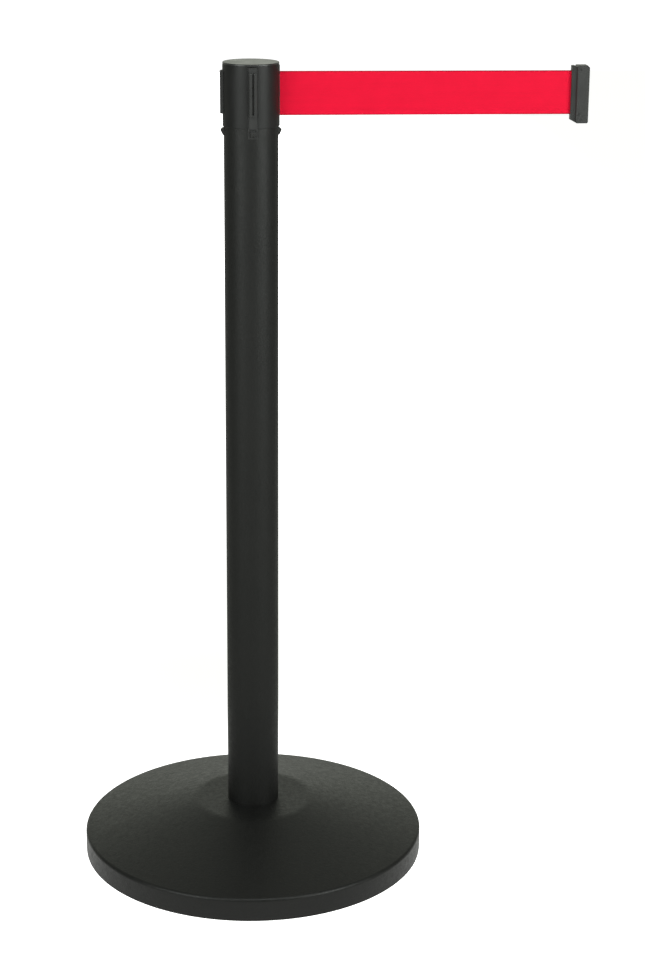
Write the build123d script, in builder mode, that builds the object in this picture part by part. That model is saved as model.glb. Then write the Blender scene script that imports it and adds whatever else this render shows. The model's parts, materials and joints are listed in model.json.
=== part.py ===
from build123d import *
import os
from math import acos, atan2, cos, hypot, pi, sin, sqrt

# Retractable belt stanchion: weighted round base, post tube, belt head, belt and clip.
# Millimetres. +Z is up, and +X is the way the belt leaves the head.
# The origin is on the post's axis, on the floor that the base stands on.

# Base
BASE_R = 200.0
BASE_RIM_Z = 26.5
PLATEAU_R = 68.5
PLATEAU_Z = 61.0
COVER_THICK = 1.2
COVER_EDGE_R = 4.0
PLATEAU_EDGE_R = 28.0
RING_LIP = 1.5
RING_HEIGHT = 9.0
WEIGHT_R = 188.0
WEIGHT_THICK = 12.0
WEIGHT_FLOOR_GAP = 3.0
WEIGHT_EDGE = 2.0
HUB_R = 34.0
HUB_ROOT_R = 8.0
RING_WALL = 2.8
RING_FIT = 0.1
RING_INSET = 0.2

# M12 bolt that clamps the weight, the cover and the tube together
BOLT_R = 5.9
BOLT_HOLE_R = 6.5
BOLT_HEX_FLATS = 19.0
BOLT_HEAD = 7.5
BOLT_TIP = 1.2
BOLT_IN_PLUG = 18.0
WASHER_THICK = 2.5
WASHER_R = 12.0
WASHER_BORE_R = 6.3
SPLIT_WASHER_R = 10.0
SPLIT_HALF = 0.75
BOLT_SEAT_Z = 22.0
SOCKET_R = 14.0

# Post tube and the sleeve round its top
HEIGHT = 930.0
TUBE_R = 30.0
TUBE_WALL = 1.5
TUBE_TOP_Z = 927.5
PLUG_LENGTH = 22.0
PLUG_BORE_R = 6.0
PLUG_EDGE = 1.0
SLEEVE_R = 30.9
SLEEVE_BORE_R = 30.15
SLEEVE_EDGE = 0.35
SLEEVE_BOTTOM_Z = 861.0
SLEEVE_BRIDGE = 1.0
CAP_THICK = 2.0
CAP_EDGE_R = 0.6
CAP_RING_WALL = 1.4
CAP_RING_GAP = 0.4
CAP_NOTCH_HALF = 8.0
BORE_R = TUBE_R - TUBE_WALL
CAP_Z = HEIGHT - CAP_THICK
SLOT_WIDTH = 10.8
SLOT_BOTTOM_Z = 850.0
SLEEVE_SLOT_TOP_Z = CAP_Z - SLEEVE_BRIDGE

# Belt
BELT_WIDTH = 48.0
BELT_THICK = 0.55
BELT_MID_Z = 895.7
BELT_LOW_Z = BELT_MID_Z - BELT_WIDTH / 2
BELT_HIGH_Z = BELT_MID_Z + BELT_WIDTH / 2
BELT_OUT = 2000.0
BELT_LEFT_ON_CORE = 75.0

# Dowel pins through the tube into the cassette's frame
PIN_ANGLES = (30, 120, 210, 300)
FRAME_PIN_R = 1.0
FRAME_PIN_DEPTH = 5.3
FRAME_PIN_RECESS = 0.1

# Small round-head screws
SCREW_R = 0.9
SCREW_CLEAR_R = 1.1
SCREW_HEAD_R = 1.7
SCREW_HEAD = 1.4
CROSS_LENGTH = 2.2
CROSS_WIDTH = 0.5
CROSS_DEPTH = 0.7
LID_SCREW_SHANK = 9.9
CUP_SCREW_SHANK = 8.0

# Cassette that fills the head: frame, lid, spool and power spring
PLATE_R = 28.3
FRAME_Z = 866.0
FRAME_THICK = 3.2
LID_Z = 921.6
LID_THICK = 2.4
PILLAR_R = 2.2
PILLAR_PITCH_R = 25.0
CUP_SCREW_PITCH_R = 25.9
FRAME_BORE_R = 5.6
PILOT_DEPTH = 8.0
AXLE_R = 3.0
AXLE_TOP_Z = 926.0
AXLE_HEAD = 1.5
AXLE_TIP = 0.4
GROOVE_DEPTH = 0.6
AXLE_RING_THICK = 0.8
AXLE_RING_R = 5.0
AXLE_RING_MOUTH_HALF = 1.6
CORE_R = 8.0
NECK_R = 5.0
SPOOL_BORE_R = 3.05
SPOOL_FLANGE_R = 22.2
SPOOL_LOW_FLANGE = 1.3
SPOOL_HIGH_FLANGE = 1.1
SPOOL_LOW_Z = 869.6
SPOOL_HIGH_Z = 921.2
SPRING_SLOT_HALF = 0.35
SPRING_SLOT_DEPTH = 1.2
CUP_R = 23.8
CUP_WALL = 1.5
CUP_Z = 838.0
CUP_FLOOR = 2.2
EAR_HALF = 2.6
EAR_THICK = 2.5
SPRING_HEIGHT = 19.0
SPRING_TURNS = 9
SPRING_THICK = 0.35
SPRING_CLEAR = 0.8
STEPS_PER_TURN = 12

# Inserts in the head's four slots: the belt outlet and three receivers
INSERT_IN_R = 24.4
INSERT_FLANGE_R = 27.2
INSERT_FLANGE_HALF = 7.0
INSERT_NOTCH_HALF = 7.1
INSERT_WEB_HALF = 5.35
INSERT_TOP_Z = 926.5
RAIL_HALF = 4.2
RAIL_BASE_R = 30.9
RAIL_R = 33.7
RAIL_LOW_Z = 874.5
RAIL_HIGH_Z = 921.0
RAIL_TOP_R = 1.8
RAIL_EDGE = 0.3
RAIL_FLOOR = 1.5
MOUTH_HALF = 1.1
MOUTH_FLOOR_R = 30.6
UNDERCUT_HALF = 2.7
LIP_THICK = 1.0
RAIL_HOLE_Z = (896.5, 905.5)
RAIL_HOLE_FLOOR_R = 29.0
OUTLET_R = 31.3
OUTLET_EDGE = 0.4
BELT_GAP_HALF = 0.8
SLIT_MARGIN = 0.8
NOSE_R = 1.5
NOSE_X = 27.0
NOSE_CLEAR = 0.075
LEAD_IN = 2.4

# Sprung catch under each insert
CATCH_LOW_Z = 851.3
CATCH_HIGH_Z = 859.4
CATCH_TIP_R = 33.5
CATCH_TRAVEL = 2.0
CATCH_SPARE = 0.2
CATCH_GAP = 0.3
CATCH_HALF = 2.95
CATCH_FOOT_HALF = 3.65
CATCH_FOOT_R = 29.2
CATCH_EYE_R = 0.7
CATCH_EYE_RISE = 1.5
POCKET_IN_R = 25.4
POCKET_STEP_R = 29.6
SPRING_COIL_R = 1.1
SPRING_WIRE_R = 0.1
SPRING_PITCH = 0.8
SPRING_END_GAP = 0.05
SPRING_SOCKET = 1.5
SPRING_SOCKET_R = 1.3

# Clip on the belt's end
CLIP_END_X = 373.1
CLIP_LENGTH = 19.3
CLIP_HALF_THICK = 7.0
CLIP_LOW_Z = 861.1
CLIP_HIGH_Z = 924.3
CLIP_EDGE_R = 0.45
CLIP_TOP_CORNER = 2.3
CLIP_FOOT_CORNER = 1.2
SHOULDER_LENGTH = 1.2
NOTCH_DROP = 2.3
NOTCH_BEFORE = 1.3
NOTCH_AFTER = 1.6
FLANGE_TOP_DROP = 0.3
FLANGE_FOOT_RUN = 2.2
FLANGE_LENGTH = 4.7
FLANGE_RISE = 3.7
FLANGE_TIP_HALF = 3.4
FLANGE_HALF = 4.8
BELT_SLOT_HALF = 0.5
LOOP_CLEAR = 0.35
PIN_X = 357.2
PIN_R = 1.0
PIN_LOW_Z = 866.7
PIN_HIGH_Z = 920.7
CLIP_SCREW_X = 362.4
CLIP_SCREW_Z = (871.4, 919.2)
CLIP_SCREW_CLEAR_R = 1.05
CLIP_SCREW_HEAD_R = 1.5
CLIP_SCREW_HEAD = 1.1
CLIP_SCREW_SHANK = 10.0
CLIP_CROSS = 2.0
COUNTERBORE_R = 1.6
COUNTERBORE_DEPTH = 1.5
CAVITY_DEPTH = 4.3
CAVITY_HALF = 4.6
CAVITY_TOP_Z = 921.0
HOOK_LOW_Z = 877.0
HOOK_HIGH_Z = 919.5
HOOK_HALF = 2.4
HOOK_THICK = 0.9
HOOK_INSET = 0.1
ANCHOR_X = 365.6
ANCHOR_LENGTH = 2.8
ANCHOR_HALF = 2.6
STEM_HALF = 0.8

# Small gaps and corners
PILOT_SPARE = 0.5
SPRING_LIFT = 2.6
SPRING_IN_GAP = 0.4
SPRING_OUT_GAP = 0.5
BELT_SLACK = 0.1
LEAD_RUN = 0.8
LEAD_DROP = 1.0
CATCH_HEEL = 1.2
CATCH_TIP_LOW = 3.2
CATCH_TIP_TOP = 2.2
SAME_SIZE = 0.01

FRONT, LEFT, BACK, RIGHT = 270, 180, 90, 0
CORNERS = (45, 135, 225, 315)

os.makedirs("parts", exist_ok=True)


def write(builder, name):
    """Label a finished sub-part and write its STEP file."""
    builder.part.label = name
    export_step(builder.part, f"parts/{name}.step")


def level(z, angle=0):
    """A horizontal plane at height z, with its x axis pointing out along angle."""
    return Plane(origin=(0, 0, z), x_dir=Vector(1, 0, 0).rotate(Axis.Z, angle), z_dir=(0, 0, 1))


def upright(angle):
    """A vertical plane through the axis: x is the radius along angle and y is height."""
    out = Vector(1, 0, 0).rotate(Axis.Z, angle)
    return Plane(origin=(0, 0, 0), x_dir=out, z_dir=out.cross(Vector(0, 0, 1)))


def facing(angle, radius, z):
    """A plane that faces out along angle, at that radius and height."""
    out = Vector(1, 0, 0).rotate(Axis.Z, angle)
    return Plane(origin=out * radius + Vector(0, 0, z), x_dir=(0, 0, 1), z_dir=out)


def bar(angle, inner, outer, half, low, high, mode=Mode.ADD):
    """A straight bar that stands upright, from one radius to another along angle."""
    with BuildSketch(level(low, angle)) as section:
        with Locations(((inner + outer) / 2, 0)):
            Rectangle(outer - inner, 2 * half)
    extrude(section.sketch, amount=high - low, mode=mode)


def disc(radius, low, high, bore=0, mode=Mode.ADD):
    """A round plate on the post's axis, with a hole if bore is given."""
    with BuildSketch(level(low)) as section:
        Circle(radius)
        if bore:
            Circle(bore, mode=Mode.SUBTRACT)
    extrude(section.sketch, amount=high - low, mode=mode)


# ---------------------------------------------------------------- base

# Spun steel cover: upright rim, rounded edge, cone and a flat plateau round the tube.
with BuildPart() as base_cover:
    with BuildSketch(Plane.XZ):
        Polygon(
            (0, RING_LIP),
            (BASE_R, RING_LIP),
            (BASE_R, BASE_RIM_Z),
            (PLATEAU_R, PLATEAU_Z),
            (0, PLATEAU_Z),
            align=None,
        )
    revolve(axis=Axis.Z)
    round_edges = base_cover.edges().filter_by(GeomType.CIRCLE).sort_by(Axis.Z)
    fillet(round_edges[-1], PLATEAU_EDGE_R)
    fillet(base_cover.edges().filter_by(GeomType.CIRCLE).group_by(Axis.Z)[1], COVER_EDGE_R)
    offset(amount=-COVER_THICK, openings=base_cover.faces().sort_by(Axis.Z)[0])
    Hole(BOLT_HOLE_R)
write(base_cover, "base_cover")

# Cast weight: a flat disc with a hub that holds the cover's plateau up.
hub_top = PLATEAU_Z - COVER_THICK
with BuildPart() as base_weight:
    disc(WEIGHT_R, WEIGHT_FLOOR_GAP, WEIGHT_FLOOR_GAP + WEIGHT_THICK)
    chamfer(base_weight.edges().sort_by(Axis.Z)[-1], WEIGHT_EDGE)
    disc(HUB_R, WEIGHT_FLOOR_GAP, hub_top)
    hub_root = base_weight.edges().filter_by(GeomType.CIRCLE).filter_by(
        lambda e: abs(e.radius - HUB_R) < SAME_SIZE and e.center().Z < hub_top - 1
    )
    fillet(hub_root, HUB_ROOT_R)
    disc(SOCKET_R, WEIGHT_FLOOR_GAP, BOLT_SEAT_Z, mode=Mode.SUBTRACT)
    disc(BOLT_HOLE_R, BOLT_SEAT_Z, hub_top, mode=Mode.SUBTRACT)
write(base_weight, "base_weight")

# Rubber ring on the cover's bottom edge, which the whole stanchion stands on.
with BuildPart() as floor_ring:
    ring_out_r = BASE_R - RING_INSET
    ring_wall_r = BASE_R - COVER_THICK - RING_FIT
    ring_in_r = ring_wall_r - RING_WALL
    with BuildSketch(Plane.XZ):
        Polygon(
            (ring_in_r, 0),
            (ring_out_r, 0),
            (ring_out_r, RING_LIP),
            (ring_wall_r, RING_LIP),
            (ring_wall_r, RING_HEIGHT),
            (ring_in_r, RING_HEIGHT),
            align=None,
        )
    revolve(axis=Axis.Z)
write(floor_ring, "floor_ring")

with BuildPart() as clamp_washer:
    disc(WASHER_R, BOLT_SEAT_Z - WASHER_THICK, BOLT_SEAT_Z, bore=WASHER_BORE_R)
write(clamp_washer, "clamp_washer")

# Split spring washer, with the slit on the +X side.
head_top = BOLT_SEAT_Z - 2 * WASHER_THICK
with BuildPart() as spring_washer:
    disc(SPLIT_WASHER_R, head_top, head_top + WASHER_THICK, bore=WASHER_BORE_R)
    bar(RIGHT, 0, WASHER_R, SPLIT_HALF, head_top, head_top + WASHER_THICK, mode=Mode.SUBTRACT)
write(spring_washer, "spring_washer")

with BuildPart() as anchor_bolt:
    with BuildSketch(level(head_top - BOLT_HEAD)):
        RegularPolygon(radius=BOLT_HEX_FLATS / 2, side_count=6, major_radius=False)
    extrude(amount=BOLT_HEAD)
    disc(BOLT_R, head_top, PLATEAU_Z + BOLT_IN_PLUG)
    chamfer(anchor_bolt.edges().sort_by(Axis.Z)[-1], BOLT_TIP)
write(anchor_bolt, "anchor_bolt")

# Threaded plug welded into the tube's foot.
with BuildPart() as foot_plug:
    disc(BORE_R, PLATEAU_Z, PLATEAU_Z + PLUG_LENGTH, bore=PLUG_BORE_R)
    chamfer(foot_plug.edges().filter_by(GeomType.CIRCLE).group_by(Axis.Z)[-1], PLUG_EDGE)
write(foot_plug, "foot_plug")

# ---------------------------------------------------------------- post and head covers

frame_pin_z = FRAME_Z + FRAME_THICK / 2
frame_pin_in_r = PLATE_R - FRAME_PIN_DEPTH

# Tube with four slots at its top for the inserts, and holes for the cassette's pins.
with BuildPart() as post_tube:
    disc(TUBE_R, PLATEAU_Z, TUBE_TOP_Z, bore=BORE_R)
    for angle in (RIGHT, BACK):
        bar(angle, -TUBE_R - 1, TUBE_R + 1, SLOT_WIDTH / 2, SLOT_BOTTOM_Z, TUBE_TOP_Z, Mode.SUBTRACT)
    for angle in PIN_ANGLES:
        with BuildSketch(facing(angle, frame_pin_in_r, frame_pin_z)):
            Circle(FRAME_PIN_R)
        extrude(amount=TUBE_R, mode=Mode.SUBTRACT)
write(post_tube, "post_tube")

# Plastic sleeve over the top of the tube, slotted from below in line with the tube.
with BuildPart() as head_sleeve:
    disc(SLEEVE_R, SLEEVE_BOTTOM_Z, CAP_Z, bore=SLEEVE_BORE_R)
    outer_edges = head_sleeve.edges().filter_by(GeomType.CIRCLE).filter_by(
        lambda e: abs(e.radius - SLEEVE_R) < SAME_SIZE
    )
    chamfer(outer_edges, SLEEVE_EDGE)
    for angle in (RIGHT, BACK):
        bar(
            angle,
            -SLEEVE_R - 1,
            SLEEVE_R + 1,
            SLOT_WIDTH / 2,
            SLEEVE_BOTTOM_Z,
            SLEEVE_SLOT_TOP_Z,
            Mode.SUBTRACT,
        )
write(head_sleeve, "head_sleeve")

# Flat cap with a ring below it that grips the tube's bore between the inserts.
with BuildPart() as top_cap:
    cap_ring_low = LID_Z + LID_THICK + CAP_RING_GAP
    disc(SLEEVE_R, CAP_Z, HEIGHT)
    fillet(top_cap.edges().sort_by(Axis.Z)[-1], CAP_EDGE_R)
    disc(PLATE_R, cap_ring_low, CAP_Z, bore=PLATE_R - CAP_RING_WALL)
    for angle in (RIGHT, BACK):
        bar(angle, -SLEEVE_R, SLEEVE_R, CAP_NOTCH_HALF, cap_ring_low, CAP_Z, Mode.SUBTRACT)
write(top_cap, "top_cap")

# ---------------------------------------------------------------- cassette


def notched_plate(low, high, bore):
    """A plate that fills the tube's bore, notched for the four inserts."""
    disc(PLATE_R, low, high, bore=bore)
    for angle in (RIGHT, BACK, LEFT, FRONT):
        bar(angle, INSERT_IN_R, PLATE_R + 1, INSERT_NOTCH_HALF, low, high, Mode.SUBTRACT)


# Frame: lower plate with four pillars, and pilot holes for the screws at both ends.
with BuildPart() as cassette_frame:
    notched_plate(FRAME_Z, FRAME_Z + FRAME_THICK, bore=FRAME_BORE_R)
    with BuildSketch(level(FRAME_Z + FRAME_THICK)):
        with PolarLocations(PILLAR_PITCH_R, 4, start_angle=CORNERS[0]):
            Circle(PILLAR_R)
    extrude(amount=LID_Z - FRAME_Z - FRAME_THICK)
    with BuildSketch(level(LID_Z)):
        with PolarLocations(PILLAR_PITCH_R, 4, start_angle=CORNERS[0]):
            Circle(SCREW_R)
    extrude(amount=-PILOT_DEPTH, mode=Mode.SUBTRACT)
    with BuildSketch(level(FRAME_Z)):
        with PolarLocations(CUP_SCREW_PITCH_R, 4, start_angle=CORNERS[0]):
            Circle(SCREW_R)
    extrude(amount=CUP_SCREW_SHANK - EAR_THICK + PILOT_SPARE, mode=Mode.SUBTRACT)
    for angle in PIN_ANGLES:
        with BuildSketch(facing(angle, frame_pin_in_r, frame_pin_z)):
            Circle(FRAME_PIN_R)
        extrude(amount=TUBE_R, mode=Mode.SUBTRACT)
write(cassette_frame, "cassette_frame")

# Dowel pins that hold the cassette's frame in the tube, hidden by the sleeve.
with BuildPart() as frame_pins:
    for angle in PIN_ANGLES:
        with BuildSketch(facing(angle, frame_pin_in_r, frame_pin_z)):
            Circle(FRAME_PIN_R)
        extrude(amount=TUBE_R - FRAME_PIN_RECESS - frame_pin_in_r)
write(frame_pins, "frame_pins")

with BuildPart() as cassette_lid:
    notched_plate(LID_Z, LID_Z + LID_THICK, bore=AXLE_R)
    with BuildSketch(level(LID_Z)):
        with PolarLocations(PILLAR_PITCH_R, 4, start_angle=CORNERS[0]):
            Circle(SCREW_CLEAR_R)
    extrude(amount=LID_THICK, mode=Mode.SUBTRACT)
write(cassette_lid, "cassette_lid")


def corner_screws(pitch_r, seat_z, shank, direction):
    """Four round-head screws on a circle. direction is +1 where their heads point up."""
    with BuildSketch(level(seat_z)) as heads:
        with PolarLocations(pitch_r, 4, start_angle=CORNERS[0]):
            Circle(SCREW_HEAD_R)
    extrude(heads.sketch, amount=direction * SCREW_HEAD)
    with BuildSketch(level(seat_z)) as shanks:
        with PolarLocations(pitch_r, 4, start_angle=CORNERS[0]):
            Circle(SCREW_R)
    extrude(shanks.sketch, amount=-direction * shank)
    with BuildSketch(level(seat_z + direction * SCREW_HEAD)) as crosses:
        with PolarLocations(pitch_r, 4, start_angle=CORNERS[0]):
            Rectangle(CROSS_LENGTH, CROSS_WIDTH)
            Rectangle(CROSS_WIDTH, CROSS_LENGTH)
    extrude(crosses.sketch, amount=-direction * CROSS_DEPTH, mode=Mode.SUBTRACT)


with BuildPart() as lid_screws:
    corner_screws(PILLAR_PITCH_R, LID_Z + LID_THICK, LID_SCREW_SHANK, 1)
write(lid_screws, "lid_screws")

# Fixed axle with a head under the spring cup and a groove for its retaining ring.
groove_z = LID_Z + LID_THICK
groove_high = groove_z + AXLE_RING_THICK
with BuildPart() as spool_axle:
    disc(AXLE_R, CUP_Z, AXLE_TOP_Z)
    chamfer(spool_axle.edges().sort_by(Axis.Z)[-1], AXLE_TIP)
    disc(NECK_R, CUP_Z - AXLE_HEAD, CUP_Z)
    disc(AXLE_R, groove_z, groove_high, bore=AXLE_R - GROOVE_DEPTH, mode=Mode.SUBTRACT)
write(spool_axle, "spool_axle")

with BuildPart() as axle_ring:
    disc(AXLE_RING_R, groove_z, groove_high, bore=AXLE_R - GROOVE_DEPTH)
    bar(FRONT, 0, AXLE_RING_R + 1, AXLE_RING_MOUTH_HALF, groove_z, groove_high, Mode.SUBTRACT)
write(axle_ring, "axle_ring")

# Spool: core between two flanges, and a neck below that the power spring drives.
spring_low = CUP_Z + CUP_FLOOR + SPRING_LIFT
neck_low = spring_low - SPRING_CLEAR
slot_high = spring_low + SPRING_HEIGHT + SPRING_CLEAR
with BuildPart() as spool:
    disc(CORE_R, SPOOL_LOW_Z, SPOOL_HIGH_Z)
    disc(SPOOL_FLANGE_R, SPOOL_LOW_Z, SPOOL_LOW_Z + SPOOL_LOW_FLANGE)
    disc(SPOOL_FLANGE_R, SPOOL_HIGH_Z - SPOOL_HIGH_FLANGE, SPOOL_HIGH_Z)
    disc(NECK_R, neck_low, SPOOL_LOW_Z)
    disc(SPOOL_BORE_R, neck_low, SPOOL_HIGH_Z, mode=Mode.SUBTRACT)
    slot_in_r = NECK_R - SPRING_SLOT_DEPTH
    bar(RIGHT, slot_in_r, NECK_R + 1, SPRING_SLOT_HALF, neck_low, slot_high, Mode.SUBTRACT)
write(spool, "spool")

# Belt wound on the core: its turns' area is the wound length times the thickness.
visible_belt = CLIP_END_X - CLIP_LENGTH - OUTLET_R
wound_length = BELT_OUT - visible_belt + BELT_LEFT_ON_CORE
roll_r = sqrt(CORE_R**2 + wound_length * BELT_THICK / pi)
with BuildPart() as belt_roll:
    disc(roll_r, BELT_LOW_Z, BELT_HIGH_Z, bore=CORE_R)
write(belt_roll, "belt_roll")

# Cup for the power spring, screwed to the frame from below through four ears.
with BuildPart() as spring_cup:
    disc(CUP_R, CUP_Z, FRAME_Z)
    disc(CUP_R - CUP_WALL, CUP_Z + CUP_FLOOR, FRAME_Z, mode=Mode.SUBTRACT)
    disc(AXLE_R, CUP_Z, CUP_Z + CUP_FLOOR, mode=Mode.SUBTRACT)
    for angle in CORNERS:
        bar(angle, CUP_R - CUP_WALL / 2, PLATE_R, EAR_HALF, FRAME_Z - EAR_THICK, FRAME_Z)
    with BuildSketch(level(FRAME_Z)):
        with PolarLocations(CUP_SCREW_PITCH_R, 4, start_angle=CORNERS[0]):
            Circle(SCREW_CLEAR_R)
    extrude(amount=-EAR_THICK, mode=Mode.SUBTRACT)
write(spring_cup, "spring_cup")

with BuildPart() as cup_screws:
    corner_screws(CUP_SCREW_PITCH_R, FRAME_Z - EAR_THICK, CUP_SCREW_SHANK, -1)
write(cup_screws, "cup_screws")


def spiral(inner, outer, turns, shift):
    """Points of an even spiral round the axis, moved out by shift."""
    steps = STEPS_PER_TURN * turns
    for i in range(steps + 1):
        radius = inner + shift + (outer - inner) * i / steps
        turn = 2 * pi * i / STEPS_PER_TURN
        yield (radius * cos(turn), radius * sin(turn))


# Power spring: a flat steel strip wound from the spool's neck to the cup's wall.
spring_in = NECK_R + SPRING_IN_GAP
spring_out = CUP_R - CUP_WALL - SPRING_OUT_GAP
with BuildPart() as power_spring:
    with BuildSketch(level(spring_low)):
        with BuildLine():
            inside = Spline(*spiral(spring_in, spring_out, SPRING_TURNS, 0))
            outside = Spline(*spiral(spring_in, spring_out, SPRING_TURNS, SPRING_THICK))
            Line(inside @ 0, outside @ 0)
            Line(inside @ 1, outside @ 1)
        make_face()
    extrude(amount=SPRING_HEIGHT)
write(power_spring, "power_spring")

# ---------------------------------------------------------------- inserts


def insert_body(angle, face_r):
    """An insert's web in the tube's slot, its flange inside the tube and its outer bar."""
    bar(angle, INSERT_IN_R, TUBE_R, INSERT_WEB_HALF, SLOT_BOTTOM_Z, INSERT_TOP_Z)
    bar(angle, INSERT_IN_R, INSERT_FLANGE_R, INSERT_FLANGE_HALF, SLOT_BOTTOM_Z, INSERT_TOP_Z)
    bar(angle, TUBE_R, face_r, RAIL_HALF, SLEEVE_BOTTOM_Z, INSERT_TOP_Z)


def catch_pocket(angle):
    """The pocket that a catch slides in: wide inside, with a narrower window."""
    low, high = CATCH_LOW_Z - CATCH_GAP, CATCH_HIGH_Z + CATCH_GAP
    bar(angle, POCKET_IN_R, POCKET_STEP_R, CATCH_FOOT_HALF + CATCH_GAP, low, high, Mode.SUBTRACT)
    bar(angle, POCKET_IN_R, RAIL_R, CATCH_HALF + CATCH_GAP, low, high, Mode.SUBTRACT)


# Receiver: two lips with an undercut groove, which a clip's hook slides down into.
for name, angle in (("front", FRONT), ("left", LEFT), ("back", BACK)):
    with BuildPart() as receiver:
        insert_body(angle, RAIL_BASE_R)
        bar(angle, TUBE_R, RAIL_R, RAIL_HALF, RAIL_LOW_Z, RAIL_HIGH_Z)
        front_face = receiver.faces().filter_by(
            lambda f: abs(hypot(f.center().X, f.center().Y) - RAIL_R) < SAME_SIZE
        )
        lip_top = front_face.edges().sort_by(Axis.Z)[-1]
        fillet(lip_top, RAIL_TOP_R)
        front_face = receiver.faces().filter_by(
            lambda f: abs(hypot(f.center().X, f.center().Y) - RAIL_R) < SAME_SIZE
        )
        chamfer(front_face.edges().filter_by(Axis.Z), RAIL_EDGE)
        groove_low = RAIL_LOW_Z + RAIL_FLOOR
        lip_in_r = RAIL_R - LIP_THICK
        bar(angle, MOUTH_FLOOR_R, RAIL_R, MOUTH_HALF, groove_low, INSERT_TOP_Z, Mode.SUBTRACT)
        bar(angle, RAIL_BASE_R, lip_in_r, UNDERCUT_HALF, groove_low, RAIL_HIGH_Z, Mode.SUBTRACT)
        for z in RAIL_HOLE_Z:
            with BuildSketch(facing(angle, RAIL_HOLE_FLOOR_R, z)):
                Circle(MOUTH_HALF)
            extrude(amount=RAIL_R, mode=Mode.SUBTRACT)
        catch_pocket(angle)
    write(receiver, f"receiver_{name}")

# The belt's way from the roll to the outlet: off the roll, round the nose, then along +X.
nose_y = -NOSE_R - BELT_THICK / 2 - NOSE_CLEAR
bend_r = -nose_y
wrap_r = roll_r + BELT_THICK / 2 + BELT_SLACK
leave = -acos((wrap_r + bend_r) / hypot(NOSE_X, nose_y)) + atan2(nose_y, NOSE_X)
leave_roll = (wrap_r * cos(leave), wrap_r * sin(leave))
meet_nose = (NOSE_X - bend_r * cos(leave), nose_y - bend_r * sin(leave))
half_way = (leave + pi + pi / 2) / 2
nose_top = (NOSE_X + bend_r * cos(half_way), nose_y + bend_r * sin(half_way))

# Outlet: a tall slit for the belt, with a rounded nose that turns it off the roll.
with BuildPart() as belt_outlet:
    insert_body(RIGHT, OUTLET_R)
    outlet_face = belt_outlet.faces().sort_by(Axis.X)[-1]
    chamfer(outlet_face.edges().filter_by(Axis.Z), OUTLET_EDGE)
    slit_low, slit_high = BELT_LOW_Z - SLIT_MARGIN, BELT_HIGH_Z + SLIT_MARGIN
    bar(RIGHT, INSERT_IN_R - 1, OUTLET_R + 1, BELT_GAP_HALF, slit_low, slit_high, Mode.SUBTRACT)
    with BuildSketch(level(slit_low)):
        Polygon(
            (INSERT_IN_R - 1, nose_y - LEAD_IN),
            (INSERT_IN_R - 1, BELT_GAP_HALF),
            (NOSE_X, BELT_GAP_HALF),
            (NOSE_X, nose_y),
            (NOSE_X - LEAD_RUN, nose_y - LEAD_DROP),
            align=None,
        )
    extrude(amount=slit_high - slit_low, mode=Mode.SUBTRACT)
    with BuildSketch(level(slit_low)):
        with Locations((NOSE_X, nose_y)):
            Circle(NOSE_R)
    extrude(amount=slit_high - slit_low)
    catch_pocket(RIGHT)
write(belt_outlet, "belt_outlet")

# ---------------------------------------------------------------- catches

catch_mid_z = (CATCH_LOW_Z + CATCH_HIGH_Z) / 2
foot_in_r = POCKET_IN_R + CATCH_TRAVEL + CATCH_SPARE
for name, angle in (("front", FRONT), ("left", LEFT), ("back", BACK), ("right", RIGHT)):
    with BuildPart() as catch:
        bar(angle, foot_in_r, CATCH_FOOT_R, CATCH_FOOT_HALF, CATCH_LOW_Z, CATCH_HIGH_Z)
        with BuildSketch(upright(angle)):
            Polygon(
                (CATCH_FOOT_R, CATCH_LOW_Z),
                (TUBE_R + CATCH_HEEL, CATCH_LOW_Z),
                (CATCH_TIP_R, CATCH_HIGH_Z - CATCH_TIP_LOW),
                (CATCH_TIP_R, CATCH_HIGH_Z - CATCH_TIP_TOP),
                (RAIL_BASE_R, CATCH_HIGH_Z),
                (CATCH_FOOT_R, CATCH_HIGH_Z),
                align=None,
            )
        extrude(amount=CATCH_HALF, both=True)
        with BuildSketch(facing(angle, foot_in_r, catch_mid_z)):
            Circle(SPRING_SOCKET_R)
        extrude(amount=SPRING_SOCKET, mode=Mode.SUBTRACT)
        with BuildSketch(facing(angle, TUBE_R, CATCH_LOW_Z + CATCH_EYE_RISE)):
            Circle(CATCH_EYE_R)
        extrude(amount=RAIL_R - TUBE_R, mode=Mode.SUBTRACT)
    write(catch, f"catch_{name}")

    spring_from = POCKET_IN_R + SPRING_WIRE_R + SPRING_END_GAP
    spring_to = foot_in_r + SPRING_SOCKET - SPRING_WIRE_R - SPRING_END_GAP
    seat = facing(angle, spring_from, catch_mid_z)
    length = spring_to - spring_from
    with BuildPart() as catch_spring:
        with BuildLine():
            coil = Helix(SPRING_PITCH, length, SPRING_COIL_R, center=seat.origin, direction=seat.z_dir)
        with BuildSketch(Plane(origin=coil @ 0, z_dir=coil % 0)):
            Circle(SPRING_WIRE_R)
        sweep()
    write(catch_spring, f"catch_spring_{name}")

# ---------------------------------------------------------------- belt and its clip

loop_r = PIN_R + BELT_SLACK + BELT_THICK
belt_slot_low = BELT_LOW_Z - BELT_SLOT_HALF
belt_slot_high = BELT_HIGH_Z + BELT_SLOT_HALF
screw_tip_y = CLIP_SCREW_SHANK - CLIP_HALF_THICK + COUNTERBORE_DEPTH
with BuildPart() as belt_span:
    with BuildSketch(level(BELT_LOW_Z)):
        with BuildLine():
            Line(leave_roll, meet_nose)
            ThreePointArc(meet_nose, nose_top, (NOSE_X, 0))
            Line((NOSE_X, 0), (PIN_X - loop_r + BELT_SLACK, 0))
        trace(line_width=BELT_THICK)
        with Locations((PIN_X, 0)):
            Circle(loop_r)
            Circle(loop_r - BELT_THICK, mode=Mode.SUBTRACT)
    extrude(amount=BELT_WIDTH)
write(belt_span, "belt_span")

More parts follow.
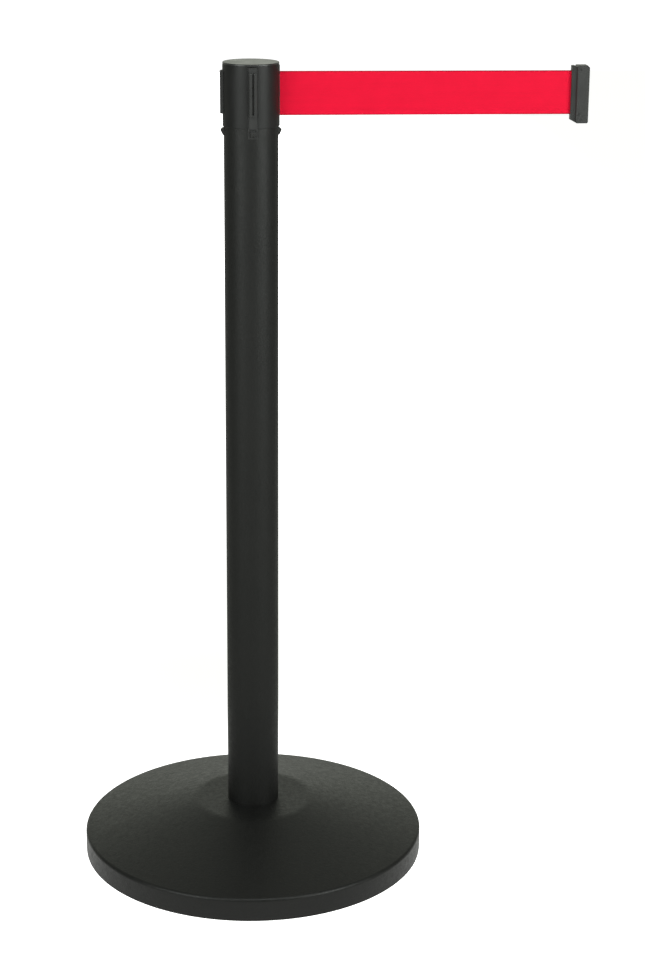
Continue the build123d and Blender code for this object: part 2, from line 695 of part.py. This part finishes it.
with BuildPart() as belt_pin:
    with BuildSketch(level(PIN_LOW_Z)):
        with Locations((PIN_X, 0)):
            Circle(PIN_R)
    extrude(amount=PIN_HIGH_Z - PIN_LOW_Z)
write(belt_pin, "belt_pin")

clip_start = CLIP_END_X - CLIP_LENGTH
crease_x = clip_start + FLANGE_LENGTH
cavity_x = CLIP_END_X - CAVITY_DEPTH
anchor_end_x = ANCHOR_X + ANCHOR_LENGTH
clip_height = CLIP_HIGH_Z - CLIP_LOW_Z


def across(y):
    """The upright plane at y that faces -Y: x is along the belt and y is height."""
    return Plane(origin=(0, y, 0), x_dir=(1, 0, 0), z_dir=(0, -1, 0))


def clip_box(side, x_low, x_high, half, low, high):
    """Cut a box out of one half of the clip, from the middle plane to half its width."""
    with BuildSketch(level(low)) as section:
        with Locations(((x_low + x_high) / 2, side * half / 2)):
            Rectangle(x_high - x_low, half)
    extrude(section.sketch, amount=high - low, mode=Mode.SUBTRACT)


def clip_bore(x, radius, low, high):
    """Cut an upright round hole that lies on the middle plane."""
    with BuildSketch(level(low)) as section:
        with Locations((x, 0)):
            Circle(radius)
    extrude(section.sketch, amount=high - low, mode=Mode.SUBTRACT)


def clip_screw_holes(plane, radius, depth):
    """Cut round holes for the clip's screws, from a plane to depth behind it."""
    with BuildSketch(plane) as section:
        with Locations(*[(CLIP_SCREW_X, z) for z in CLIP_SCREW_Z]):
            Circle(radius)
    extrude(section.sketch, amount=-depth, mode=Mode.SUBTRACT)


# Clip halves: a narrow flange that grips the belt, and a taller body with a rear cavity.
for name, side in (("front", -1), ("back", 1)):
    with BuildPart() as clip:
        with BuildSketch(level(CLIP_LOW_Z)):
            Polygon(
                (clip_start, 0),
                (clip_start, side * FLANGE_TIP_HALF),
                (crease_x, side * FLANGE_HALF),
                (crease_x + SHOULDER_LENGTH, side * CLIP_HALF_THICK),
                (CLIP_END_X, side * CLIP_HALF_THICK),
                (CLIP_END_X, 0),
                align=None,
            )
        extrude(amount=clip_height)
        with BuildSketch(across(0)):
            Polygon(
                (clip_start, CLIP_LOW_Z + FLANGE_RISE),
                (clip_start, CLIP_HIGH_Z - FLANGE_TOP_DROP),
                (crease_x - NOTCH_BEFORE, CLIP_HIGH_Z - FLANGE_TOP_DROP),
                (crease_x, CLIP_HIGH_Z - NOTCH_DROP),
                (crease_x + NOTCH_AFTER, CLIP_HIGH_Z),
                (CLIP_END_X - CLIP_TOP_CORNER, CLIP_HIGH_Z),
                (CLIP_END_X, CLIP_HIGH_Z - CLIP_TOP_CORNER),
                (CLIP_END_X, CLIP_LOW_Z + CLIP_FOOT_CORNER),
                (CLIP_END_X - CLIP_FOOT_CORNER, CLIP_LOW_Z),
                (crease_x + FLANGE_FOOT_RUN, CLIP_LOW_Z),
                align=None,
            )
        extrude(amount=CLIP_HALF_THICK, both=True, mode=Mode.INTERSECT)
        flat_face = clip.faces().filter_by(Axis.Y).sort_by(lambda f: -f.area)
        outer_face = [f for f in flat_face if abs(f.center().Y) > CLIP_HALF_THICK - SAME_SIZE][0]
        fillet(outer_face.edges(), CLIP_EDGE_R)
        clip_box(side, clip_start - 1, PIN_X, BELT_SLOT_HALF, belt_slot_low, belt_slot_high)
        clip_bore(PIN_X, loop_r + LOOP_CLEAR, belt_slot_low, belt_slot_high)
        clip_bore(PIN_X, PIN_R, PIN_LOW_Z, PIN_HIGH_Z)
        clip_box(side, cavity_x, CLIP_END_X + 1, CAVITY_HALF, CLIP_LOW_Z - 1, CAVITY_TOP_Z)
        clip_box(side, ANCHOR_X, anchor_end_x, ANCHOR_HALF, HOOK_LOW_Z, HOOK_HIGH_Z)
        clip_box(side, ANCHOR_X, cavity_x + 1, STEM_HALF, HOOK_LOW_Z, HOOK_HIGH_Z)
        if side < 0:
            clip_screw_holes(across(-CLIP_HALF_THICK), CLIP_SCREW_CLEAR_R, CLIP_HALF_THICK)
            clip_screw_holes(across(-CLIP_HALF_THICK), COUNTERBORE_R, COUNTERBORE_DEPTH)
        else:
            clip_screw_holes(across(0), SCREW_R, screw_tip_y + PILOT_SPARE)
    write(clip, f"clip_{name}_half")

# Two screws from the front half into the back half, with their heads sunk.
with BuildPart() as clip_screws:
    seat = across(-CLIP_HALF_THICK + COUNTERBORE_DEPTH)
    screw_places = [(CLIP_SCREW_X, z) for z in CLIP_SCREW_Z]
    with BuildSketch(seat):
        with Locations(*screw_places):
            Circle(CLIP_SCREW_HEAD_R)
    extrude(amount=CLIP_SCREW_HEAD)
    with BuildSketch(seat):
        with Locations(*screw_places):
            Circle(SCREW_R)
    extrude(amount=-CLIP_SCREW_SHANK)
    with BuildSketch(seat.offset(CLIP_SCREW_HEAD)):
        with Locations(*screw_places):
            Rectangle(CLIP_CROSS, CROSS_WIDTH)
            Rectangle(CROSS_WIDTH, CLIP_CROSS)
    extrude(amount=-CROSS_DEPTH, mode=Mode.SUBTRACT)
write(clip_screws, "clip_screws")

# Hook: an anchor held between the halves, a thin stem, and a T head that fits a receiver.
with BuildPart() as clip_hook:
    head_end_x = CLIP_END_X - HOOK_INSET
    head_x = head_end_x - HOOK_THICK
    with BuildSketch(level(HOOK_LOW_Z)):
        for low_x, high_x, half in (
            (ANCHOR_X, anchor_end_x, ANCHOR_HALF),
            (anchor_end_x, head_x, STEM_HALF),
            (head_x, head_end_x, HOOK_HALF),
        ):
            with Locations(((low_x + high_x) / 2, 0)):
                Rectangle(high_x - low_x, 2 * half)
    extrude(amount=HOOK_HIGH_Z - HOOK_LOW_Z)
    hook_ends = clip_hook.edges().filter_by(Axis.Y).filter_by(
        lambda e: abs(e.center().X - head_end_x) < SAME_SIZE
    )
    chamfer(hook_ends, HOOK_THICK / 2)
write(clip_hook, "clip_hook")

turns_out = (roll_r - sqrt(CORE_R**2 + BELT_LEFT_ON_CORE * BELT_THICK / pi)) / BELT_THICK
turns_in = (sqrt(roll_r**2 + visible_belt * BELT_THICK / pi) - roll_r) / BELT_THICK
print("visible belt", round(visible_belt, 2), "roll radius", round(roll_r, 3))
print("pull out", round(BELT_OUT - visible_belt, 1), "draw in", round(visible_belt - 0.3, 1))
print("spool turns out", round(turns_out, 2), "in", round(turns_in, 2))
print("spool rad/m", round(2 * pi * (turns_out + turns_in) / BELT_OUT * 1000, 2))
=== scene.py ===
import json
import math

import bmesh
import bpy
from mathutils import Matrix, Vector

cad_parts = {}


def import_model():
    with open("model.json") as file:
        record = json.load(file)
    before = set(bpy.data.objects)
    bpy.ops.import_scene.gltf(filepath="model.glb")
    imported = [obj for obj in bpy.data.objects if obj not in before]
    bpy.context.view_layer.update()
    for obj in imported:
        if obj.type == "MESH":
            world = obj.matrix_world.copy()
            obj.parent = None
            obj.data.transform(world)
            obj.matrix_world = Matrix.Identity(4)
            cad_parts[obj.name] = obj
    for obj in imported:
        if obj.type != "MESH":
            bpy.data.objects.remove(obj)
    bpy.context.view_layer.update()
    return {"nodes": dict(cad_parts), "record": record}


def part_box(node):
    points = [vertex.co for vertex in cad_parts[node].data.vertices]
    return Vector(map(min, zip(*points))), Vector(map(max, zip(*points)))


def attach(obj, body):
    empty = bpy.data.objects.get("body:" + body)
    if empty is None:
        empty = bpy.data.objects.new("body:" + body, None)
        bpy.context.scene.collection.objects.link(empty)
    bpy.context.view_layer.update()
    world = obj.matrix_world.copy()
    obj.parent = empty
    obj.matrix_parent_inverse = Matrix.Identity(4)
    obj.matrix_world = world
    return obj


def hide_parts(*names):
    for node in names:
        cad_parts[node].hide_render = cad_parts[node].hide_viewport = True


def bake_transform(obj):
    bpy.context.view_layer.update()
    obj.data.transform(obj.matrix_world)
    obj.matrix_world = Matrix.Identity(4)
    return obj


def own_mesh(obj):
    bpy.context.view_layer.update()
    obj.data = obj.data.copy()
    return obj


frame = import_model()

nodes = frame["nodes"]
MM = 0.001

# ------------------------------------------------------------------ material helpers


class Shader:
    """A material's node tree, with short calls for the nodes that the finishes share."""

    def __init__(self, name):
        self.material = bpy.data.materials.new(name)
        self.material.use_nodes = True
        self.tree = self.material.node_tree
        self.surface = self.tree.nodes["Principled BSDF"]
        self.place = self.node("ShaderNodeTexCoord").outputs["Object"]

    def node(self, kind, **inputs):
        """A new node, with its inputs set from numbers or linked from sockets."""
        made = self.tree.nodes.new(kind)
        for key, value in inputs.items():
            socket = made.inputs[key.replace("_", " ")]
            if isinstance(value, bpy.types.NodeSocket):
                self.tree.links.new(value, socket)
            else:
                socket.default_value = value
        return made

    def set(self, **inputs):
        """Set the surface's own inputs."""
        for key, value in inputs.items():
            socket = self.surface.inputs[key.replace("_", " ")]
            if isinstance(value, bpy.types.NodeSocket):
                self.tree.links.new(value, socket)
            else:
                socket.default_value = value

    def noise(self, size, detail=2.0, roughness=0.5, stretch=(1, 1, 1)):
        """Noise whose lumps are about size metres across, from 0 to 1."""
        mapping = self.node("ShaderNodeMapping", Vector=self.place, Scale=stretch)
        made = self.node(
            "ShaderNodeTexNoise",
            Vector=mapping.outputs["Vector"],
            Scale=1 / size,
            Detail=detail,
            Roughness=roughness,
        )
        return made.outputs["Fac"]

    def spread(self, value, low, high, out_low=0.0, out_high=1.0):
        """value from low to high, mapped to out_low to out_high and held there."""
        made = self.node("ShaderNodeMapRange", Value=value)
        made.inputs["From Min"].default_value = low
        made.inputs["From Max"].default_value = high
        made.inputs["To Min"].default_value = out_low
        made.inputs["To Max"].default_value = out_high
        return made.outputs["Result"]

    def math(self, operation, first, second=0.0):
        made = self.node("ShaderNodeMath")
        made.operation = operation
        for socket, value in zip(made.inputs, (first, second)):
            if isinstance(value, bpy.types.NodeSocket):
                self.tree.links.new(value, socket)
            else:
                socket.default_value = value
        return made.outputs["Value"]

    def mix(self, factor, first, second):
        """A colour between two colours."""
        made = self.tree.nodes.new("ShaderNodeMix")
        made.data_type = "RGBA"
        for socket, value in ((made.inputs[0], factor), (made.inputs[6], first), (made.inputs[7], second)):
            if isinstance(value, bpy.types.NodeSocket):
                self.tree.links.new(value, socket)
            else:
                socket.default_value = value
        return made.outputs[2]

    def wave(self, value, pitch):
        """A rounded ridge from 0 to 1, repeated every pitch metres."""
        turns = self.math("MULTIPLY", value, math.pi / pitch)
        return self.math("ABSOLUTE", self.math("SINE", turns))

    def bump(self, height, distance, strength=1.0, under=None):
        """Bump from a height of 0 to 1, distance metres deep, over another bump if given."""
        made = self.node("ShaderNodeBump", Height=height, Distance=distance, Strength=strength)
        if under is not None:
            self.tree.links.new(under, made.inputs["Normal"])
        return made.outputs["Normal"]


def rgb(red, green, blue):
    return (red, green, blue, 1.0)


def powder_coat(name, shade, gloss, specular, sheen_mark=0.25):
    """Fine-textured satin black powder coat: orange peel, grit, and soft rub marks."""
    s = Shader(name)
    clouds = s.noise(0.11, detail=3)
    mottle = s.noise(0.006, detail=5, roughness=0.75)
    grit = s.noise(0.0011, detail=2)
    peel = s.noise(0.0028, detail=2)
    rub = s.spread(s.noise(0.03, detail=6, roughness=0.7), 0.6, 0.75)
    dark = rgb(shade * 0.88, shade * 0.90, shade * 0.86)
    light = rgb(shade * 1.12, shade * 1.13, shade * 1.06)
    worn = rgb(shade * 2, shade * 2, shade * 1.9)
    colour = s.mix(s.spread(clouds, 0.35, 0.65), dark, light)
    colour = s.mix(s.math("MULTIPLY", rub, sheen_mark), colour, worn)
    rough = s.spread(grit, 0.3, 0.7, gloss - 0.05, gloss + 0.06)
    rough = s.math("ADD", rough, s.math("MULTIPLY", rub, -0.06))
    rough = s.math("ADD", rough, s.spread(mottle, 0.35, 0.65, -0.07, 0.07))
    s.set(Base_Color=colour, Roughness=rough, Specular_IOR_Level=specular)
    s.set(Normal=s.bump(grit, 0.00014, 0.55, under=s.bump(peel, 0.00026, 0.6)))
    return s.material


def moulded(name, shade, gloss=0.42, grain=0.0006, depth=0.00005, specular=0.3, tint=(1, 1, 1)):
    """Injection-moulded plastic with a fine spark-eroded grain and faint flow clouds."""
    s = Shader(name)
    fine = s.noise(grain, detail=2)
    broad = s.noise(0.02, detail=4)
    low = rgb(*[shade * 0.9 * t for t in tint])
    high = rgb(*[shade * 1.12 * t for t in tint])
    s.set(Base_Color=s.mix(s.spread(broad, 0.35, 0.65), low, high), Specular_IOR_Level=specular)
    s.set(Roughness=s.spread(broad, 0.3, 0.7, gloss - 0.05, gloss + 0.05))
    s.set(Normal=s.bump(fine, depth, 0.6))
    return s.material


def metal(name, shade, rough, streak=(1, 1, 1)):
    """Plated or bare steel with faint drawing lines."""
    s = Shader(name)
    lines = s.noise(0.0012, detail=4, stretch=streak)
    s.set(Metallic=1.0, Base_Color=s.mix(lines, rgb(*[c * 0.85 for c in shade]), rgb(*shade)))
    s.set(Roughness=s.spread(lines, 0.3, 0.7, rough - 0.06, rough + 0.08))
    s.set(Normal=s.bump(lines, 0.00003, 0.4))
    return s.material


def rubber(name):
    """Matte black rubber with a dusty bloom."""
    s = Shader(name)
    bloom = s.noise(0.01, detail=4)
    s.set(Base_Color=s.mix(bloom, rgb(0.010, 0.010, 0.010), rgb(0.020, 0.020, 0.019)))
    s.set(Roughness=s.spread(bloom, 0.3, 0.7, 0.65, 0.85), Specular_IOR_Level=0.2)
    s.set(Normal=s.bump(s.noise(0.0007), 0.00008, 0.6))
    return s.material


def webbing(name):
    """Red polyester webbing: fine weft ridges across it, a soft sheen along the yarns, and painted shade
    along both edges.
    """
    s = Shader(name)
    split = s.node("ShaderNodeSeparateXYZ", Vector=s.place)
    along, up = split.outputs["X"], split.outputs["Z"]
    # Weight of the painted shade along both belt edges, from 1 at the edge to 0 further in.
    edge_shade_weight = s.node("ShaderNodeAttribute")
    edge_shade_weight.attribute_name = "belt_edge_shade"
    edge_shade_weight = edge_shade_weight.outputs["Fac"]
    streak = s.noise(0.004, detail=3, stretch=(0.03, 1, 1))
    weft = s.wave(along, WEFT_PITCH)
    warp = s.wave(up, WARP_PITCH)
    crossing = s.math("MULTIPLY", weft, warp)
    yarn = s.noise(0.0006, detail=3, stretch=(0.15, 1, 1))
    cloud = s.noise(0.02, detail=3)
    deep = rgb(0.41, 0.0021, 0.0165)
    full = rgb(0.62, 0.0033, 0.0285)
    # Painted shade colour for the belt's edges, where the rounded edge turns away from the light.
    edge_shade_colour = rgb(0.20, 0.0016, 0.011)
    tone = s.math("ADD", s.math("MULTIPLY", crossing, 0.45), s.math("MULTIPLY", yarn, 0.35))
    tone = s.math("ADD", tone, s.math("MULTIPLY", s.math("ADD", cloud, streak), 0.25))
    s.set(Base_Color=s.mix(edge_shade_weight, s.mix(s.spread(tone, 0.15, 0.85), deep, full), edge_shade_colour))
    s.set(Roughness=s.spread(yarn, 0.3, 0.7, 0.55, 0.7), Specular_IOR_Level=0.08)
    s.set(Sheen_Weight=0.03, Sheen_Roughness=0.35, Sheen_Tint=rgb(1.0, 0.12, 0.2))
    s.set(Normal=s.bump(yarn, 0.00003, 0.4, under=s.bump(crossing, 0.00008, 0.7)))
    return s.material


WEFT_PITCH = 0.0011
WARP_PITCH = 0.00075

finishes = {
    "powder_coat": powder_coat("powder_coat", 0.0048, 0.44, 0.23),
    "powder_coat_tube": powder_coat("powder_coat_tube", 0.0058, 0.47, 0.25),
    "cast_iron": metal("cast_iron", (0.06, 0.06, 0.06), 0.7),
    "floor_rubber": rubber("floor_rubber"),
    "zinc_steel": metal("zinc_steel", (0.62, 0.62, 0.6), 0.3),
    "spring_steel": metal("spring_steel", (0.4, 0.42, 0.45), 0.28),
    "black_screw": metal("black_screw", (0.05, 0.05, 0.05), 0.45),
    "head_plastic": moulded("head_plastic", 0.0065, gloss=0.47, specular=0.23),
    "cap_plastic": moulded("cap_plastic", 0.02, gloss=0.34, specular=0.4),
    "insert_plastic": moulded("insert_plastic", 0.022, gloss=0.42, specular=0.28),
    "catch_plastic": moulded("catch_plastic", 0.02, gloss=0.4, specular=0.3),
    "cassette_plastic": moulded("cassette_plastic", 0.05),
    "spool_plastic": moulded("spool_plastic", 0.6, tint=(1, 0.98, 0.92)),
    "clip_plastic": moulded("clip_plastic", 0.022, gloss=0.44, specular=0.27),
    "hook_plastic": moulded("hook_plastic", 0.02),
    "belt_webbing": webbing("belt_webbing"),
}
slots = {s["node"]: s["material_slot"] for s in frame["record"]["subparts"]}
for name, node in nodes.items():
    node.data.materials.clear()
    node.data.materials.append(finishes[slots[name]])

# ------------------------------------------------------------------ belt

BELT_RIBS = 62
RIB_STEPS = 6
RIB_RISE = 0.035 * MM
BELT_HALF_THICK = 0.27 * MM
SELVEDGE_WIDTH = 1.5 * MM
SELVEDGE_RISE = 0.16 * MM
# Width of the painted shade along each belt edge.
EDGE_SHADE_WIDTH = 1.2 * MM
BELT_DROOP = 1.1 * MM
LOOP_STEPS = 28
SPAN_MARGIN = 0.3 * MM
SELVEDGE_POWER = 0.7
RIM_WIDTH = 0.4 * MM
RIM_THINNING = 0.85
ROLL_LEAD = 0.375 * MM
NOSE_AT = Vector((27.0, -1.85)) * MM
NOSE_BEND = 1.85 * MM
BEND_STEPS = 12
LOOP_CLEAR = 0.1 * MM
LOOP_LEAD = 1.2 * MM
LOOP_FROM = 200
LOOP_TURN = 325


def belt_section(width):
    """The belt's section: (across, thickness) points round it, ribbed, with thicker selvedges."""
    half = width / 2
    count = BELT_RIBS * RIB_STEPS
    face = []
    for i in range(count + 1):
        across = -half + width * i / count
        inside = half - abs(across)
        rib = RIB_RISE * abs(math.sin(math.pi * i / RIB_STEPS)) - RIB_RISE
        cord = SELVEDGE_RISE * math.sin(math.pi * min(inside / SELVEDGE_WIDTH, 1)) ** SELVEDGE_POWER
        rim = min(inside / RIM_WIDTH, 1)
        thick = (BELT_HALF_THICK + rib + cord) * math.sqrt(1 - (1 - rim) ** 2 * RIM_THINNING)
        face.append((across, thick))
    return face + [(across, -thick) for across, thick in reversed(face)]


def belt_path():
    """The belt's middle line in plan, with its normals, from the roll to the loop's end."""
    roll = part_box("belt_roll")
    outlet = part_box("belt_outlet")
    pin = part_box("belt_pin")
    span_low, span_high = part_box("belt_span")
    clip_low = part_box("clip_front_half")[0]
    wrap = roll[1].x + ROLL_LEAD
    leave = math.atan2(NOSE_AT.y, NOSE_AT.x) - math.acos((wrap + NOSE_BEND) / NOSE_AT.length)
    out = Vector((math.cos(leave), math.sin(leave)))
    points = [(out * wrap, out)]
    meet = NOSE_AT - out * NOSE_BEND
    points.append((meet, out))
    start_turn = leave + math.pi
    end_turn = math.pi / 2
    for i in range(1, BEND_STEPS + 1):
        turn = start_turn + (end_turn - start_turn) * i / BEND_STEPS
        away = Vector((math.cos(turn), math.sin(turn)))
        points.append((NOSE_AT + away * NOSE_BEND, -away))
    pin_at = (pin[0] + pin[1]) / 2
    loop = (pin[1].x - pin[0].x) / 2 + LOOP_CLEAR + BELT_HALF_THICK
    return points, outlet[1].x, clip_low.x, pin_at, loop, span_low, span_high


def belt_strap():
    """The belt from the roll, out of the slit, and round the pin in the clip."""
    points, outlet_x, clip_x, pin_at, loop, low, high = belt_path()
    down = Vector((0, -1))
    rows = [(p, n, 0) for p, n in points]
    rows.append((Vector((outlet_x + SPAN_MARGIN, 0)), down, 0))
    rows.append((Vector((clip_x - SPAN_MARGIN, 0)), down, 1))
    centre = Vector((pin_at.x, 0))
    rows.append((centre + Vector((-loop - LOOP_LEAD, 0)), down, 1))
    for i in range(LOOP_STEPS):
        turn = math.radians(LOOP_FROM + LOOP_TURN * i / (LOOP_STEPS - 1))
        away = Vector((math.cos(turn), math.sin(turn)))
        rows.append((centre + away * loop, away, 1))
    section = belt_section(high.z - low.z)
    middle = (high.z + low.z) / 2
    mesh = bmesh.new()
    # Per-vertex weight for the painted shade along both edges of the belt.
    belt_edge_shade = mesh.verts.layers.float.new("belt_edge_shade")
    rings = []
    for place, normal, drop in rows:
        ring = []
        for across, thick in section:
            at = place + normal * thick
            ring.append(mesh.verts.new((at.x, at.y, middle + across - drop * BELT_DROOP)))
            inside = (high.z - low.z) / 2 - abs(across)
            ring[-1][belt_edge_shade] = max(0, 1 - inside / EDGE_SHADE_WIDTH) ** 0.5
        rings.append(ring)
    size = len(section)
    for first, second in zip(rings, rings[1:]):
        for i in range(size):
            j = (i + 1) % size
            mesh.faces.new((first[i], first[j], second[j], second[i]))
    half = size // 2
    for ring in (rings[0], rings[-1]):
        for i in range(half - 1):
            mesh.faces.new((ring[i], ring[i + 1], ring[size - 2 - i], ring[size - 1 - i]))
    bmesh.ops.recalc_face_normals(mesh, faces=mesh.faces)
    piece = finish_mesh(mesh, "belt_strap", "belt_webbing")
    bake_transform(piece)
    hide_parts("belt_span")


SPRING_WIRE = 0.1 * MM
SPRING_PITCH = 0.8 * MM
SPRING_STEPS = 20
SPRING_SIDES = 8
UP = Vector((0, 0, 1))


def catch_spring(side, out):
    """The coil spring behind one catch, built at its rest length; nothing here shortens it as the catch is
    pressed.
    """
    node = f"catch_spring_{side}"
    low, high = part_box(node)
    length = abs((high - low).dot(out))
    base = (low + high) / 2 - out * length / 2
    across = out.cross(UP)
    coil = (high.z - low.z) / 2 - SPRING_WIRE
    run = length - 2 * SPRING_WIRE
    count = round(run / SPRING_PITCH * SPRING_STEPS)
    mesh = bmesh.new()
    rings = []
    for i in range(count + 1):
        turn = 2 * math.pi * i / SPRING_STEPS
        away = across * math.cos(turn) + UP * math.sin(turn)
        at = base + away * coil + out * (SPRING_WIRE + run * i / count)
        ring = []
        for j in range(SPRING_SIDES):
            angle = 2 * math.pi * j / SPRING_SIDES
            ring.append(mesh.verts.new(at + (away * math.cos(angle) + out * math.sin(angle)) * SPRING_WIRE))
        rings.append(ring)
    for first, second in zip(rings, rings[1:]):
        for i in range(SPRING_SIDES):
            j = (i + 1) % SPRING_SIDES
            mesh.faces.new((first[i], first[j], second[j], second[i]))
    mesh.faces.new(rings[0])
    mesh.faces.new(rings[-1])
    bmesh.ops.recalc_face_normals(mesh, faces=mesh.faces)
    piece = finish_mesh(mesh, f"catch_coil_{side}", "spring_steel")
    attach(piece, "post")
    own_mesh(piece)
    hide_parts(node)


def finish_mesh(mesh, name, slot):
    """Turn a bmesh into a smooth object with its slot's finish."""
    for face in mesh.faces:
        face.smooth = True
    data = bpy.data.meshes.new(name)
    mesh.to_mesh(data)
    mesh.free()
    data.materials.append(finishes[slot])
    piece = bpy.data.objects.new(name, data)
    bpy.context.scene.collection.objects.link(piece)
    return piece


belt_strap()
catch_spring("front", Vector((0, -1, 0)))
catch_spring("left", Vector((-1, 0, 0)))
catch_spring("back", Vector((0, 1, 0)))
catch_spring("right", Vector((1, 0, 0)))

# ------------------------------------------------------------------ stage, light and camera

CAMERA_AT = Vector((-0.177, -2.411, 1.195))
CAMERA_YAW = math.radians(6.11)
CAMERA_PITCH = math.radians(17.10)
CAMERA_ROLL = math.radians(0.37)
CAMERA_LENS = 81.97


def camera():
    ahead = Vector(
        (
            math.sin(CAMERA_YAW) * math.cos(CAMERA_PITCH),
            math.cos(CAMERA_YAW) * math.cos(CAMERA_PITCH),
            -math.sin(CAMERA_PITCH),
        )
    )
    right = Vector((math.cos(CAMERA_YAW), -math.sin(CAMERA_YAW), 0))
    up = right.cross(ahead)
    turned_right = right * math.cos(CAMERA_ROLL) + up * math.sin(CAMERA_ROLL)
    turned_up = turned_right.cross(ahead)
    data = bpy.data.cameras.new("camera")
    data.lens = CAMERA_LENS
    data.sensor_width = 36
    made = bpy.data.objects.new("camera", data)
    bpy.context.scene.collection.objects.link(made)
    turn = Matrix((turned_right, turned_up, -ahead)).transposed()
    made.matrix_world = Matrix.Translation(CAMERA_AT) @ turn.to_4x4()
    bpy.context.scene.camera = made


def soft_box(name, bearing, distance, height, size, radiance, aim=0.75):
    """A soft box at a bearing in degrees from -Y (the right is positive), turned to the post."""
    turn = math.radians(bearing)
    at = Vector((math.sin(turn) * distance, -math.cos(turn) * distance, height))
    data = bpy.data.lights.new(name, "AREA")
    data.shape = "RECTANGLE"
    data.size, data.size_y = size
    data.energy = radiance * math.pi * size[0] * size[1]
    data.color = BOX_TINT
    made = bpy.data.objects.new(name, data)
    bpy.context.scene.collection.objects.link(made)
    made.location = at
    made.rotation_euler = (Vector((0, 0, aim)) - at).to_track_quat("-Z", "Y").to_euler()


def stage():
    """A white floor: pale to the camera, a painted glow in a ring just round the base, and a soft glow to
    the post from further out.
    """
    bpy.ops.mesh.primitive_plane_add(size=16)
    floor = bpy.context.object
    floor.name = "floor"
    s = Shader("floor_paint")
    away = s.node("ShaderNodeVectorMath", Vector=s.place)
    away.operation = "LENGTH"
    split = s.node("ShaderNodeSeparateXYZ", Vector=s.place)
    side = s.spread(s.math("ABSOLUTE", split.outputs["X"]), *GLOW_SIDE)
    glow = s.math("MULTIPLY", s.spread(away.outputs["Value"], *FLOOR_GLOW), side)
    # Painted light: the floor glows in a ring just round the base, which lights the rim and the foot of the
    # tube.
    glow = s.math("ADD", glow, s.spread(away.outputs["Value"], *FLOOR_NEAR_GLOW))
    seen = s.node("ShaderNodeLightPath").outputs["Is Camera Ray"]
    glow = s.math("ADD", glow, s.math("MULTIPLY", seen, FLOOR_SEEN))
    s.set(Base_Color=rgb(FLOOR_WHITE, FLOOR_WHITE, FLOOR_WHITE * 0.95), Roughness=0.9)
    s.set(Specular_IOR_Level=0.0, Emission_Color=rgb(1, 1, 1), Emission_Strength=glow)
    floor.data.materials.append(s.material)


def world():
    """A white surround for the camera; it lights the post most from low down behind it."""
    made = bpy.data.worlds.new("studio")
    bpy.context.scene.world = made
    made.use_nodes = True
    tree = made.node_tree
    backdrop = tree.nodes["Background"]
    seen = tree.nodes.new("ShaderNodeBackground")
    backdrop.inputs["Color"].default_value = SURROUND_TINT
    seen.inputs["Color"].default_value = (1, 1, 1, 1)
    seen.inputs["Strength"].default_value = 1.1
    path = tree.nodes.new("ShaderNodeLightPath")
    pick = tree.nodes.new("ShaderNodeMixShader")
    direction = tree.nodes.new("ShaderNodeTexCoord")
    split = tree.nodes.new("ShaderNodeSeparateXYZ")
    tree.links.new(direction.outputs["Generated"], split.inputs["Vector"])
    size = tree.nodes.new("ShaderNodeMath")
    size.operation = "ABSOLUTE"
    tree.links.new(split.outputs["X"], size.inputs[0])
    strength = 1.0
    for socket, values in (
        (split.outputs["Z"], HEIGHT_FADE),
        (split.outputs["Y"], BEHIND_FADE),
        (size.outputs["Value"], SIDE_FADE),
    ):
        fade = tree.nodes.new("ShaderNodeMapRange")
        for key, value in zip(("From Min", "From Max", "To Min", "To Max"), values):
            fade.inputs[key].default_value = value
        tree.links.new(socket, fade.inputs["Value"])
        product = tree.nodes.new("ShaderNodeMath")
        product.operation = "MULTIPLY"
        tree.links.new(fade.outputs["Result"], product.inputs[0])
        if isinstance(strength, float):
            product.inputs[1].default_value = strength
        else:
            tree.links.new(strength, product.inputs[1])
        strength = product.outputs["Value"]
    tree.links.new(strength, backdrop.inputs["Strength"])
    tree.links.new(path.outputs["Is Camera Ray"], pick.inputs["Fac"])
    tree.links.new(backdrop.outputs["Background"], pick.inputs[1])
    tree.links.new(seen.outputs["Background"], pick.inputs[2])
    tree.links.new(pick.outputs["Shader"], tree.nodes["World Output"].inputs["Surface"])


FLOOR_WHITE = 0.42
FLOOR_GLOW = (0.6, 5.0, 0.0, 1.8)
# Painted glow of the floor just round the base: from distance, to distance, glow at the first, glow at the
# second.
FLOOR_NEAR_GLOW = (0.24, 0.42, 0.75, 0.0)
GLOW_SIDE = (0.6, 1.6, 1.0, 0.1)
FLOOR_SEEN = 0.7
HEIGHT_FADE = (0.3, 0.95, 0.93, 0.4)
BEHIND_FADE = (-0.4, 0.4, 0.3, 1.0)
SIDE_FADE = (0.33, 0.75, 1.0, 0.25)
SURROUND_TINT = (0.98, 1.03, 0.9, 1)
BOX_TINT = (0.97, 1.02, 0.98)

bpy.context.scene.view_settings.view_transform = "Standard"
camera()
stage()
world()
soft_box("left_box", -48, 2.0, 1.25, (1.25, 1.5), 5.6)
soft_box("right_box", 47, 2.0, 1.25, (1.25, 1.5), 7.0)
soft_box("top_box", 4, 1.5, 3.2, (0.45, 0.45), 48.0, aim=0.0)
